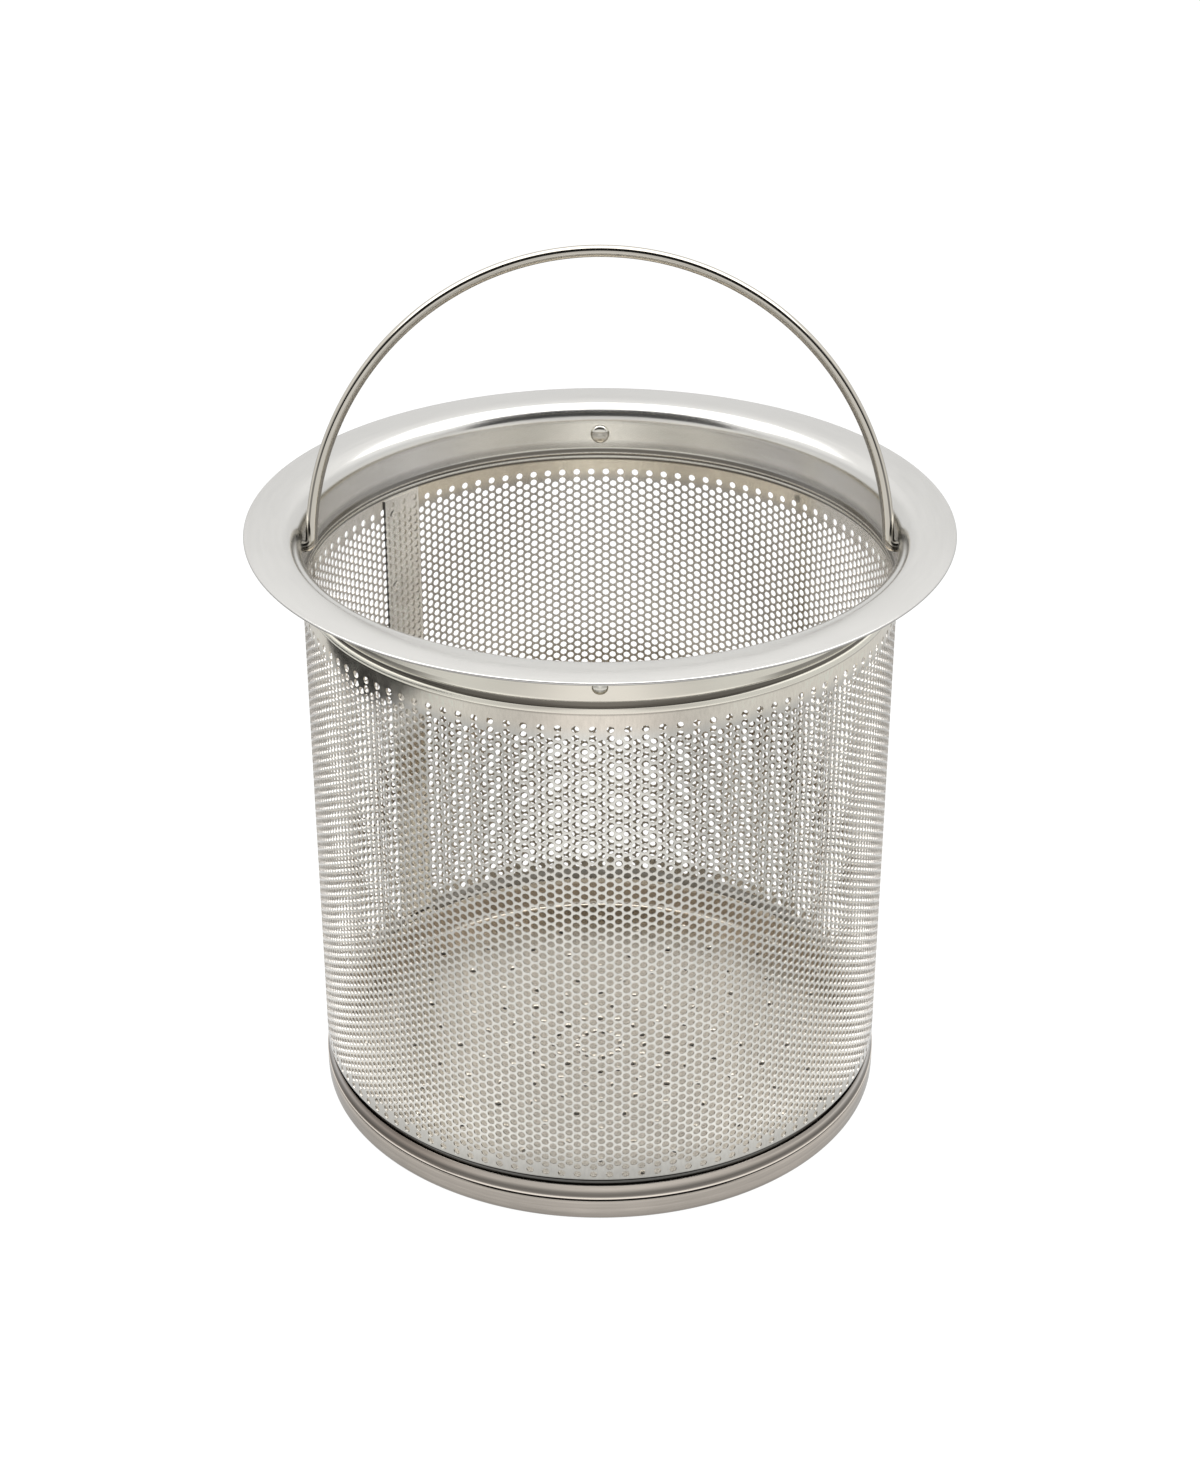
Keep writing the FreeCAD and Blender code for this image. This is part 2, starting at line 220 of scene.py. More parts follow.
class Finish:
    """A procedural material on Object coordinates, or the world."""

    def __init__(self, name, holders=None):
        self.material = (bpy.data.materials if holders is None else holders).new(name)
        self.material.use_nodes = True
        self.tree = self.material.node_tree
        self.tree.nodes.clear()

    def node(self, kind, options=None, inputs=None, output=0):
        """Adds a node. Its options come first, then the values or links of its sockets."""
        made = self.tree.nodes.new(kind)
        for name, value in (options or {}).items():
            setattr(made, name, value)
        for socket, value in (inputs or {}).items():
            if isinstance(value, Channel):
                self.tree.links.new(value.socket, made.inputs[socket])
            else:
                made.inputs[socket].default_value = value
        return Channel(self, made.outputs[output]) if made.outputs else None

    def place(self):
        """The point on the piece, as x, y and z."""
        point = self.node("ShaderNodeTexCoord", output="Object")
        split = self.node("ShaderNodeSeparateXYZ", inputs={0: point})
        outputs = split.socket.node.outputs
        return [Channel(self, outputs[axis]) for axis in "XYZ"]

    def vector(self, x, y, z):
        return self.node("ShaderNodeCombineXYZ", inputs={"X": x, "Y": y, "Z": z})

    def reach(self, x, y):
        """The distance from the basket's axis."""
        flat = self.vector(x, y, 0.0)
        return self.node("ShaderNodeVectorMath", {"operation": "LENGTH"}, {0: flat}, "Value")

    def size(self, value):
        """The value without its sign."""
        return self.node("ShaderNodeMath", {"operation": "ABSOLUTE"}, {0: value})

    def larger(self, first, second):
        """The larger of two values."""
        return self.node("ShaderNodeMath", {"operation": "MAXIMUM"}, {0: first, 1: second})

    def turn(self, x, y):
        """The angle round the basket's axis."""
        return self.node("ShaderNodeMath", {"operation": "ARCTAN2"}, {0: y, 1: x})

    def noise(self, vector, scale, detail=3.0, roughness=0.55):
        """Noise from 0 to 1."""
        return self.node(
            "ShaderNodeTexNoise",
            inputs={"Vector": vector, "Scale": scale, "Detail": detail, "Roughness": roughness},
        )

    def span(self, value, low, high, start=0.0, end=1.0):
        """The value's stretch from low to high, drawn to the stretch from start to end, and clamped."""
        return self.node(
            "ShaderNodeMapRange",
            {"clamp": True, "interpolation_type": "SMOOTHSTEP"},
            {"Value": value, "From Min": low, "From Max": high, "To Min": start, "To Max": end},
        )

    def band(self, value, low, high, soft):
        """1 from low to high, falling to 0 over the soft stretch on each side."""
        return self.span(value, low - soft, low) * self.span(value, high, high + soft, 1.0, 0.0)

    def blend(self, factor, first, second, mode="MIX"):
        """A mix of two colours, which are the node's sockets 6 and 7 and its output 2."""
        return self.node(
            "ShaderNodeMix",
            {"data_type": "RGBA", "blend_type": mode},
            {"Factor": factor, 6: first, 7: second},
            2,
        )

    def brushed(self, x, y, level, along, across):
        """Noise drawn out into fine lines round the axis."""
        return self.noise(self.vector(self.turn(x, y) * along, level * across, 0.0), 1.0, 4.0, 0.7)

    def metal(self, colour, roughness, bump=None, strength=0.1, depth=0.05 * MM, **constants):
        """The steel that the other nodes feed."""
        inputs = {"Base Color": colour, "Metallic": 1.0, "Roughness": roughness}
        inputs.update(constants)
        if bump is not None:
            inputs["Normal"] = self.node(
                "ShaderNodeBump", inputs={"Height": bump, "Strength": strength, "Distance": depth}
            )
        shader = self.node("ShaderNodeBsdfPrincipled", inputs=inputs)
        self.node("ShaderNodeOutputMaterial", inputs={"Surface": shader})
        return self.material


def shade(colour, factor):
    """The colour, lighter or darker, as a socket's four numbers."""
    return (*(min(1.0, part * factor) for part in colour), 1.0)


def flange_steel(name, sizes, roughness, depth=1.0):
    """Satin steel, warmer on the collar, with painted dark lines of shade in the groove and the folds of its
    seam, painted highlights on the ridges between the folds, and painted light and shade across the collar.
    """
    finish = Finish(name)
    x, y, z = finish.place()
    reach = finish.reach(x, y)
    side = finish.size(x)
    lines = finish.brushed(x, y, z + reach, 6.0, 900.0)
    clouds = finish.noise(finish.vector(x, y, z), 60, 3.0)
    tone = finish.span(lines * 0.6 + clouds * 0.4, 0.3, 0.7, 0.975 * depth, 1.025 * depth)
    flat = finish.span(z, sizes.top - 4.5 * MM, sizes.top - 2.0 * MM)
    down = sizes.top - z
    outside = finish.span(reach, sizes.collar + 0.03 * MM, sizes.collar + 0.08 * MM)
    beside = finish.span(side, 20 * MM, 45 * MM)
    # Painted shade: the collar's inner face turns greyer and darker at the left and right
    within = finish.blend(beside, shade(sizes.wall_inside, 1), shade(PALE_COLLAR, 1))
    # Painted shade: the collar's inner face darkens towards the hem
    within = finish.blend(1.0, within, finish.span(down, 7.7 * MM, 9.3 * MM, 1.0, 0.66), "MULTIPLY")
    # Painted light: the collar's outer face is lighter at the left and right
    without = finish.blend(finish.span(side, 8 * MM, 26 * MM), shade(sizes.wall, 1), shade(sizes.wall, 1.44))
    wall = finish.blend(outside, within, without)
    base = finish.blend(1.0, finish.blend(flat, wall, shade(sizes.colour, 1)), tone, "MULTIPLY")
    slim = finish.span(side, 20 * MM, 44 * MM)
    upper, lower = 9.95 * MM + slim * (0.35 * MM), 11.1 * MM - slim * (0.3 * MM)
    # Painted shade in the outer groove, narrower at the sides, and a painted shadow band above it at the
    # sides
    groove = finish.band(down, upper, lower, 0.2 * MM) * outside
    far = finish.span(side, 27 * MM, 37 * MM, 0.0, 0.7)
    shadow = finish.band(down, 8.7 * MM, 9.5 * MM, 0.25 * MM) * outside * far
    # Painted shade: dark lines in the folds inside the hem
    folds = (
        finish.band(down, 10.2 * MM, 10.6 * MM, 0.35 * MM)
        + finish.band(down, 11.2 * MM, 11.6 * MM, 0.12 * MM)
        + finish.band(down, 12.15 * MM, 12.7 * MM, 0.1 * MM)
    ) * (1.0 - outside) * finish.span(side, 36 * MM, 54 * MM, 1.0, 0.65)
    # Painted highlights on the ridges between the folds
    ridges = (
        finish.band(down, 10.78 * MM, 11.08 * MM, 0.08 * MM)
        + finish.band(down, 11.73 * MM, 12.08 * MM, 0.1 * MM)
    ) * (1.0 - outside)
    # Painted shade: a dark line under the rim's outer edge
    edge = finish.span(reach, sizes.rim - 0.25 * MM, sizes.rim - 0.15 * MM)
    edge = edge * finish.span(down, 0.3 * MM, 0.4 * MM)
    base = finish.blend(edge * 0.6, base, shade(sizes.wall, 0.25))
    base = finish.blend(ridges * 0.8, base, shade(sizes.wall_inside, 0.82))
    base = finish.blend((groove + folds) * 0.9 + shadow, base, shade(SEAM_SHADOW, 1))
    rough = finish.span(lines, 0.25, 0.75, roughness * 0.85, roughness * 1.15)
    return finish.metal(base, rough, lines, 0.04, 0.02 * MM)


def ring_steel(name, sizes):
    """Satin steel with streaks along the band, and painted shade and highlights in bands round its groove and
    on its upper band.
    """
    finish = Finish(name)
    x, y, z = finish.place()
    streaks = finish.brushed(x, y, z, 2.5, 900.0)
    fine = finish.brushed(x, y, z, 8.0, 3000.0)
    clouds = finish.noise(finish.vector(x, y, z), 28, 3.0)
    tone = finish.span(streaks * 0.4 + fine * 0.2 + clouds * 0.4, 0.3, 0.7, 0.8, 1.2)
    base = finish.blend(1.0, shade(sizes.colour, 1), tone, "MULTIPLY")
    # Painted shade in the groove, a painted highlight on the crest above it, and painted shade on the flare
    # over the crest and on the belly under the groove
    seam = finish.band(z, sizes.groove - 0.2 * MM, sizes.groove + 0.1 * MM, 0.08 * MM)
    crest = finish.band(z, sizes.groove + 0.3 * MM, sizes.groove + 0.62 * MM, 0.1 * MM)
    flare = finish.span(z, sizes.groove + 0.65 * MM, sizes.groove + 0.95 * MM) * finish.span(
        z, sizes.groove + 1.35 * MM, sizes.groove + 2.5 * MM, 1.0, 0.0
    )
    belly = finish.band(z, sizes.groove - 1.9 * MM, sizes.groove - 1.1 * MM, 0.5 * MM)
    side = finish.size(x)
    # Painted shade on the top edge at the left and right
    lip = finish.span(z, sizes.height - 1.3 * MM, sizes.height - 0.5 * MM)
    lip = lip * finish.span(side, 25 * MM, 45 * MM)
    # Painted shade: the upper band turns brown at the sides, most at the left
    upper = finish.span(z, sizes.groove + 0.6 * MM, sizes.groove + 0.8 * MM)
    upper = upper * finish.span(side, 15 * MM, 45 * MM)
    base = finish.blend(belly * 0.4, base, shade(sizes.colour, 0.6))
    left = finish.span(x, -45 * MM, 45 * MM, 0.78, 0.12)
    base = finish.blend(upper * left, base, shade(BAND_BROWN, 1))
    base = finish.blend(lip * 0.4, base, shade(sizes.colour, 0.15))
    base = finish.blend(flare * 0.8, base, shade(sizes.colour, 0.25))
    base = finish.blend(crest, base, shade(sizes.colour, 1.9))
    base = finish.blend(seam, base, shade(sizes.colour, 0.05))
    rough = finish.span(fine, 0.25, 0.75, 0.13, 0.2)
    return finish.metal(base, rough, fine, 0.06, 0.02 * MM)


def sheet_steel(name, sizes, inside, margin_inside, inner_face, outer_face, cut=None):
    """Bright rolled sheet with a cloudy film, straw-coloured over the holes, with painted shade in the holes,
    towards the ring and under the hem, and painted light at the sides.

    The faces are radii, and cut is the direction of a sheared end that shows.
    """
    finish = Finish(name)
    x, y, z = finish.place()
    place = finish.vector(x, y, z)
    reach = finish.reach(x, y)
    clouds = finish.noise(place, 180, 4.0, 0.6)
    grain = finish.noise(finish.vector(x, y, z * 0.3), 2200, 2.0)
    side = finish.size(x)
    tucked = finish.span(z, TUCK_TOP - TUCK_HEIGHT, TUCK_TOP, TUCK_DEPTH, 0.0)
    tucked = tucked + finish.span(z, TUCK_TOP, TUCK_TOP + 0.3 * MM, 0.15 * MM, 0.0)
    face = finish.span(reach + tucked, sizes.radius - 0.07 * MM, sizes.radius - 0.03 * MM)
    over = finish.span(z, sizes.high - 2.5 * MM, sizes.high + 1.2 * MM)
    # Painted shade: the outer face darkens towards the ring, and most in the recess just above it
    foot = finish.span(z, sizes.low - 1.0 * MM, sizes.low + 8.0 * MM, 0.62, 1.0)
    recess = finish.span(z, sizes.low - 2.3 * MM, sizes.low - 0.9 * MM, 0.25, 1.0)
    # Painted shadow on the outer face just under the collar's bead
    bead = finish.span(z, HEM, HEM + 0.5 * MM, 1.0, 0.6)
    # Painted light: the outer face is lighter at the left and right, and the inner margin paler
    aside = finish.span(side, 8 * MM, 28 * MM)
    straw = finish.blend(aside, shade(sizes.margin, 1), shade(sizes.margin, 1.54))
    pale = finish.blend(finish.span(side, 38 * MM, 54 * MM), shade(margin_inside, 1), shade(PALE_MARGIN, 1))
    rolled = finish.blend(aside, shade(sizes.colour, 1), shade(sizes.colour, 1.14))
    outer = finish.blend(over, rolled, straw)
    outer = finish.blend(1.0, outer, foot * recess * bead, "MULTIPLY")
    # Painted light: the inner face is lighter at the limbs
    limb = finish.span(side, 42 * MM, 55 * MM)
    bright = shade((inside[0], inside[1] * 1.01, inside[2] * 1.06), 1.45)
    inner = finish.blend(over, finish.blend(limb, shade(inside, 1), bright), pale)
    # Painted shadow on the inner face just under the hem
    inner = finish.blend(1.0, inner, finish.span(z, HEM, HEM + 0.3 * MM, 1.0, 0.5), "MULTIPLY")
    base = finish.blend(face, inner, outer)
    # Painted shade on the walls of the holes, weaker at the limbs
    punched = finish.band(reach + tucked, inner_face + 0.05 * MM, outer_face - 0.08 * MM, 0.025 * MM)
    dark = finish.span(limb, 0.0, 1.0, 0.5, 0.1) if cut is None else 0.9
    base = finish.blend(punched * dark, base, shade(inside, 0.4))
    if cut is not None:
        # Painted shadow: the last 0.4 mm before the sheared end is dark
        sheared = finish.span(finish.turn(x, y), cut - 0.0065, cut - 0.005)
        base = finish.blend(sheared, base, shade(sizes.lap, 0.1))
    stain = finish.node("ShaderNodeVectorMath", {"operation": "DISTANCE"}, {0: place, 1: STAIN}, "Value")
    clean = finish.span(stain + clouds * MM, 0.9 * MM, 1.9 * MM, 0.45, 1.0)
    light = finish.span(clouds * 0.5 + grain * 0.5, 0.3, 0.7, 0.92, 1.06) * clean
    base = finish.blend(1.0, base, light, "MULTIPLY")
    rough = finish.span(clouds, 0.3, 0.7, 0.09, 0.16) + punched * 0.4
    return finish.metal(base, rough, grain, 0.06, 0.02 * MM)


def pan_steel(name, sizes):
    """Rolled sheet of the floor, with painted brown shade on the turned-up wall and a painted highlight on
    its edge.
    """
    finish = Finish(name)
    x, y, z = finish.place()
    clouds = finish.noise(finish.vector(x, y, z), 140, 4.0, 0.6)
    # Painted shade: the turned-up wall is darker and browner, with a painted highlight along its top edge
    wall = finish.span(z, sizes.level + 0.5 * MM, sizes.level + 1.0 * MM)
    edge = finish.span(z, sizes.rim - 1.6 * MM, sizes.rim - 1.0 * MM)
    plain = finish.blend(clouds, shade(sizes.colour, 0.9), shade(sizes.colour, 1.1))
    brown = finish.blend(clouds, shade(sizes.wall, 0.8), shade(sizes.wall, 1.2))
    base = finish.blend(edge, finish.blend(wall, plain, brown), shade(sizes.colour, 1.15))
    rough = finish.span(clouds, 0.3, 0.7, 0.2, 0.27)
    return finish.metal(base, rough, clouds, 0.03, 0.03 * MM)


def polished_steel(name, sizes):
    """Polished wire with a painted dark reflection outside its bow, painted shade over its top, and painted
    brown shade inside the bow and on the bends into the pins.
    """
    finish = Finish(name)
    x, y, z = finish.place()
    colour = sizes.colour
    smudge = finish.noise(finish.vector(x, y, z), 220, 3.0)
    base = finish.blend(smudge, shade(colour, 0.94), shade(colour, 1.05))
    side = finish.size(x)
    # Painted shade: darker over the top of the bow
    base = finish.blend(1.0, base, finish.span(side, 5 * MM, 40 * MM, 0.88, 1.0), "MULTIPLY")
    up = y * math.sin(sizes.lean) + (z - PIVOT[2]) * math.cos(sizes.lean) - sizes.rise
    out = finish.reach(x, up) - sizes.bow
    # A painted dark reflection just outside the bow, further out at the sides
    shift = finish.span(side, 20 * MM, 50 * MM, 0.0, 0.17 * MM)
    dark_reflection = finish.band(out - shift, 0.16 * MM, 0.42 * MM, 0.14 * MM) * finish.span(up, 0.0, 3 * MM, 0.0, 0.8)
    # Painted shade along the inner side of the bow
    under = finish.span(out, -1.0 * MM, -0.6 * MM, 0.7, 0.0)
    # Painted shade on the bends into the pins
    pin_shade = finish.span(side, 59.5 * MM, 60.1 * MM) * finish.span(up, 2 * MM, 7 * MM, 0.9, 0.0)
    base = finish.blend(under, base, shade(colour, 0.5))
    base = finish.blend(dark_reflection, base, shade(colour, 0.18))
    base = finish.blend(pin_shade, base, shade(colour, 0.15))
    rough = finish.span(smudge, 0.3, 0.75, 0.05, 0.09)
    return finish.metal(base, rough, smudge, 0.05, 0.02 * MM)


def settings():
    """The scene, which holds the property groups."""
    return bpy.context.scene


def deselect():
    """Leaves edit mode with nothing selected."""
    if bpy.context.mode != "OBJECT":
        bpy.ops.object.mode_set(mode="OBJECT")
    bpy.ops.object.select_all(action="DESELECT")


def take(name):
    """Names the active object and its mesh."""
    piece = bpy.context.active_object
    piece.name = name
    piece.data.name = name
    return piece


def hold(*pieces):
    """Selects these pieces alone. The first is active."""
    deselect()
    for piece in pieces:
        piece.select_set(True)
    bpy.context.view_layer.objects.active = pieces[0]


def select_points(piece, wanted):
    """Selects the points that the test picks, from object mode, and goes to edit mode."""
    bpy.ops.object.mode_set(mode="EDIT")
    bpy.ops.mesh.select_mode(type="VERT")
    bpy.ops.mesh.select_all(action="DESELECT")
    bpy.ops.object.mode_set(mode="OBJECT")
    for vertex in piece.data.vertices:
        vertex.select = bool(wanted(vertex.co))
    bpy.ops.object.mode_set(mode="EDIT")


def settle(piece):
    """Puts the piece's place into its mesh."""
    hold(piece)
    bpy.ops.object.transform_apply(location=True, rotation=True, scale=True)


def close_up(piece):
    """Merges doubles and turns the faces outwards."""
    hold(piece)
    bpy.ops.object.mode_set(mode="EDIT")
    bpy.ops.mesh.select_all(action="SELECT")
    bpy.ops.mesh.remove_doubles(threshold=NEAR)
    bpy.ops.mesh.normals_make_consistent(inside=False)
    bpy.ops.object.mode_set(mode="OBJECT")


def modify(piece, kind, **values):
    """Adds a modifier with these values and applies it."""
    hold(piece)
    bpy.ops.object.modifier_add(type=kind)
    modifier = piece.modifiers[-1]
    for name, value in values.items():
        setattr(modifier, name, value)
    bpy.ops.object.modifier_apply(modifier=modifier.name)


def smooth(piece, degrees):
    """Shades the piece smooth and keeps its sharper edges."""
    hold(piece)
    bpy.ops.object.shade_smooth_by_angle(angle=math.radians(degrees))


def finish_piece(piece, material, body, slot, *nodes):
    """Gives the piece its finish and its place in the moving model."""
    piece.data.materials.clear()
    piece.data.materials.append(material)
    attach(piece, body)
    if nodes:
        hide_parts(*nodes)


def arc(centre, radius, start, end, steps):
    """Points of a profile's round, from one angle to the other in degrees."""
    points = []
    for step in range(steps + 1):
        angle = math.radians(start + (end - start) * step / steps)
        points.append((centre[0] + radius * math.cos(angle), centre[1] + radius * math.sin(angle)))
    return points


def lathe(name, profile, sides=TURN_SIDES):
    """A closed profile of radius and level pairs, turned by extruding a circle from pair to pair."""
    deselect()
    radius, level = profile[0]
    bpy.ops.mesh.primitive_circle_add(vertices=sides, radius=radius, location=(0, 0, level))
    piece = take(name)
    settle(piece)
    bpy.ops.object.mode_set(mode="EDIT")
    bpy.ops.mesh.select_all(action="SELECT")
    for next_radius, next_level in profile[1:] + profile[:1]:
        grow = next_radius / radius
        bpy.ops.mesh.extrude_edges_indiv()
        bpy.ops.transform.resize(value=(grow, grow, 1), center_override=(0, 0, level))
        bpy.ops.transform.translate(value=(0, 0, next_level - level))
        radius, level = next_radius, next_level
    close_up(piece)
    return piece


def in_mm(points):
    """Pairs written in millimetres."""
    return [(radius * MM, level * MM) for radius, level in points]


def cut_away(piece, cutter):
    """Takes the cutter's volume out of the piece, removes the cutter and merges doubles."""
    modify(piece, "BOOLEAN", operation="DIFFERENCE", object=cutter, solver="EXACT")
    bpy.data.objects.remove(cutter, do_unlink=True)
    close_up(piece)


class STRAINER_OT_stage(bpy.types.Operator):
    """Floor, light, background and camera"""

    bl_idname = "strainer.stage"
    bl_label = "Stage"

    def execute(self, context):
        scene = context.scene
        scene.view_settings.view_transform = "Standard"
        self.floor()
        self.world(scene)
        self.cards()
        self.lamps()
        self.camera(scene)
        return {"FINISHED"}

    def rays(self, finish):
        """Rays that see the background itself: the camera's, and what a piece mirrors or lets through."""
        path = finish.node("ShaderNodeLightPath")
        outputs = path.socket.node.outputs
        camera, glossy, through = [
            Channel(finish, outputs[f"Is {kind} Ray"]) for kind in ("Camera", "Glossy", "Transmission")
        ]
        return camera, finish.larger(glossy, through)

    def floor(self):
        """White table. It stays unlit under the basket, and the steel sees it darker, as painted shade, close
        round the basket and at both sides.
        """
        deselect()
        bpy.ops.mesh.primitive_plane_add(size=6)
        floor = take("floor")
        finish = Finish("white_table")
        x, y, _ = finish.place()
        reach = finish.reach(x, y)
        side = finish.size(x)
        camera, mirrored = self.rays(finish)
        # Painted shade that only the steel sees: darker close round the basket and at both sides
        under = finish.span(reach, 59.5 * MM, 67 * MM, 0.5, 1.0)
        dim = under * finish.span(side, 30 * MM, 150 * MM, 1.0, 0.56)
        tone = finish.larger(camera, dim)
        plain = finish.node("ShaderNodeBsdfDiffuse", inputs={"Color": (0.9, 0.9, 0.9, 1)})
        glow = finish.node("ShaderNodeEmission", inputs={"Color": tone, "Strength": 1.1})
        share = (camera * 0.9 + mirrored) * finish.span(reach, 57 * MM, 60.5 * MM)
        mixed = finish.node("ShaderNodeMixShader", inputs={0: share, 1: plain, 2: glow})
        finish.node("ShaderNodeOutputMaterial", inputs={"Surface": mixed})
        floor.data.materials.append(finish.material)

    def world(self, scene):
        """White room. The camera sees it bright, and the steel sees it brighter overhead."""
        room = Finish("studio", bpy.data.worlds)
        scene.world = room.material
        direction = room.node("ShaderNodeTexCoord", output="Generated")
        height = room.node("ShaderNodeSeparateXYZ", inputs={0: direction}, output="Z")
        light, low, high = [
            room.node("ShaderNodeBackground", inputs={"Color": WHITE, "Strength": strength})
            for strength in (0.55, 0.95, 1.18)
        ]
        camera, mirrored = self.rays(room)
        share = room.larger(camera, room.span(height, 0.36, 0.5))
        white = room.node("ShaderNodeMixShader", inputs={0: share, 1: low, 2: high})
        mixed = room.node("ShaderNodeMixShader", inputs={0: camera + mirrored, 1: light, 2: white})
        room.node("ShaderNodeOutputWorld", inputs={"Surface": mixed})

    def cards(self):
        """The unlit room behind the camera and a dark thing at the left. Only the steel mirrors them."""
        for name, size, place, turn, tone in (
            ("dark_room", (4, 1.92), (0, -1.4, 1.74), (math.pi / 2, 0, 0), 0.12),
            ("dark_ceiling", (4, 0.6), (0, -1.1, 2.7), (0, 0, 0), 0.12),
            ("dark_side", (0.04, 0.21), (-0.18, -0.045, 0.05), (0, 0, 0), 0.03),
        ):
            deselect()
            bpy.ops.mesh.primitive_plane_add(size=1, location=place, rotation=turn)
            card = take(name)
            card.scale = (*size, 1)
            settle(card)
            card.visible_camera = False
            finish = Finish(name)
            plain = finish.node("ShaderNodeBsdfDiffuse", inputs={"Color": (tone, tone, tone, 1)})
            finish.node("ShaderNodeOutputMaterial", inputs={"Surface": plain})
            card.data.materials.append(finish.material)

    def lamps(self):
        """One wide soft light over the basket."""
        deselect()
        bpy.ops.object.light_add(type="AREA", location=(0, 0.1675, 1.0))
        lamp = bpy.context.active_object
        lamp.name = "soft_light"
        lamp.data.shape = "RECTANGLE"
        lamp.data.size = 1.8
        lamp.data.size_y = 0.865
        lamp.data.energy = 9.33

    def camera(self, scene):
        """The photo's view of the basket."""
        deselect()
        bpy.ops.object.camera_add(location=CAMERA_PLACE, rotation=(math.radians(90 - LOOK_DOWN), 0, 0))
        camera = bpy.context.active_object
        camera.name = "photo_view"
        camera.data.sensor_width = SENSOR
        camera.data.lens = FOCAL_PIXELS / PHOTO_HEIGHT * SENSOR
        camera.data.clip_start = 0.01
        scene.camera = camera


class STRAINER_OT_flange(bpy.types.Operator):
    """Flange, rounded shoulder and collar, with the necked bead under it"""

    bl_idname = "strainer.flange"
    bl_label = "Flange"

    def execute(self, context):
        sizes = settings().strainer_flange
        rim, top = sizes.rim / MM, sizes.top / MM
        sheet, collar, round_ = sizes.sheet / MM, sizes.collar / MM, sizes.shoulder / MM
        edge = sheet / 2
        turn = (collar + round_, top - round_)
        wall = collar + sheet
        profile = arc((rim - edge, top - edge), edge, -90, 90, 6)
        profile += arc(turn, round_, 90, 180, 12)
        # Inside, the wall necks in to two folds, and a slot holds the screen's upper edge
        fold = top - 0.4
        profile += [
            (collar, fold - 8.8), (collar - 0.02, fold - 9.2), (collar - 0.08, fold - 9.5),
            (collar - 0.4, fold - 10.25), (collar - 0.43, fold - 10.35), (collar - 0.43, fold - 10.75),
            (collar - 0.38, fold - 10.85), (collar - 0.24, fold - 10.9), (collar - 0.24, fold - 11.0),
            (collar - 0.4, fold - 11.35), (collar - 0.44, fold - 11.45), (collar - 0.44, fold - 11.95),
            (collar - 0.4, fold - 12.1), (collar - 0.3, fold - 12.18), (collar - 0.18, fold - 12.18),
            (collar - 0.18, top - 11.5), (collar + 0.34, top - 11.5),
        ]
        # Lower edge, bead and groove from outside
        profile += [
            (collar + 0.34, top - 12.3), (collar + 0.42, top - 12.38), (wall - 0.12, top - 12.38),
            (wall - 0.02, top - 12.25), (wall, top - 11.9), (wall, top - 11.4), (wall - 0.06, top - 11.1),
            (wall - 0.2, top - 10.95), (wall - 0.38, top - 10.8), (wall - 0.42, top - 10.4),
            (wall - 0.38, top - 10.0), (wall - 0.2, top - 9.7), (wall - 0.05, top - 9.45), (wall, top - 9.1),
        ]
        profile += arc(turn, round_ - sheet, 180, 90, 10)
        piece = lathe("flange", in_mm(profile))
        self.pierce(piece, sizes)
        smooth(piece, 40)
        finish_piece(piece, flange_steel("satin_steel", sizes, 0.2), BASKET, "flange", "top_flange")
        # The dimples take a darker copy of the satin steel, as painted shade
        self.dimples(sizes, flange_steel("dimple_steel", sizes, 0.18, 0.72))
        return {"FINISHED"}

    def pierce(self, piece, sizes):
        """Two holes for the pins and two for the dimples."""
        pin = settings().strainer_bail.wire + PIN_PLAY
        recess = sizes.dimple - DIMPLE_WALL
        for turn, radius in ((0, pin), (90, recess), (180, pin), (270, recess)):
            angle = math.radians(turn)
            level = sizes.dimple_level if turn % 180 else PIVOT[2]
            deselect()
            bpy.ops.mesh.primitive_cylinder_add(
                vertices=24, radius=radius, depth=6 * MM, rotation=(math.pi / 2, 0, angle + math.pi / 2),
                location=(sizes.collar * math.cos(angle), sizes.collar * math.sin(angle), level),
            )
            cutter = take("punch")
            settle(cutter)
            cut_away(piece, cutter)

    def dimples(self, sizes, steel):
        """Domes that stand into the collar over their recesses, at the front and the rear."""
        foot, rise = sizes.dimple / MM, sizes.dimple_rise / MM
        recess = foot - DIMPLE_WALL / MM
        pole = 0.02
        outer = [(foot * math.cos(turn), rise * math.sin(turn) ** 0.9) for turn in np.linspace(0, 1.555, 12)]
        inner = [(recess * radius / foot + pole, level * 0.6) for radius, level in reversed(outer)]
        for name, side in (("dimple_front", 1), ("dimple_rear", -1)):
            piece = lathe(name, in_mm(outer + inner), 32)
            piece.rotation_euler = (-side * math.pi / 2, 0, 0)
            piece.location = (0, -side * (sizes.collar - 0.02 * MM), sizes.dimple_level)
            settle(piece)
            smooth(piece, 40)
            finish_piece(piece, steel, BASKET, "flange")


def punched_cell(width, pitch, hole):
    """One hole in its rectangle of sheet, flat in X and Y."""
    deselect()
    hole *= ROUND_AREA
    bpy.ops.mesh.primitive_circle_add(vertices=HOLE_SIDES, radius=hole / 2)
    cell = take("cell")
    bpy.ops.object.mode_set(mode="EDIT")
    bpy.ops.mesh.select_all(action="SELECT")
    bpy.ops.mesh.extrude_edges_indiv()
    slant = math.sqrt(0.5)
    bpy.ops.transform.resize(
        value=(width / hole / slant, pitch / hole / slant, 1), center_override=(0, 0, 0)
    )
    bpy.ops.object.mode_set(mode="OBJECT")
    reach = hole * 0.51
    small = hole * 0.01
    select_points(cell, lambda co: co.length > reach and min(abs(co.x), abs(co.y)) < small)
    bpy.ops.transform.resize(value=(slant, slant, 1), center_override=(0, 0, 0))
    bpy.ops.object.mode_set(mode="OBJECT")
    return cell


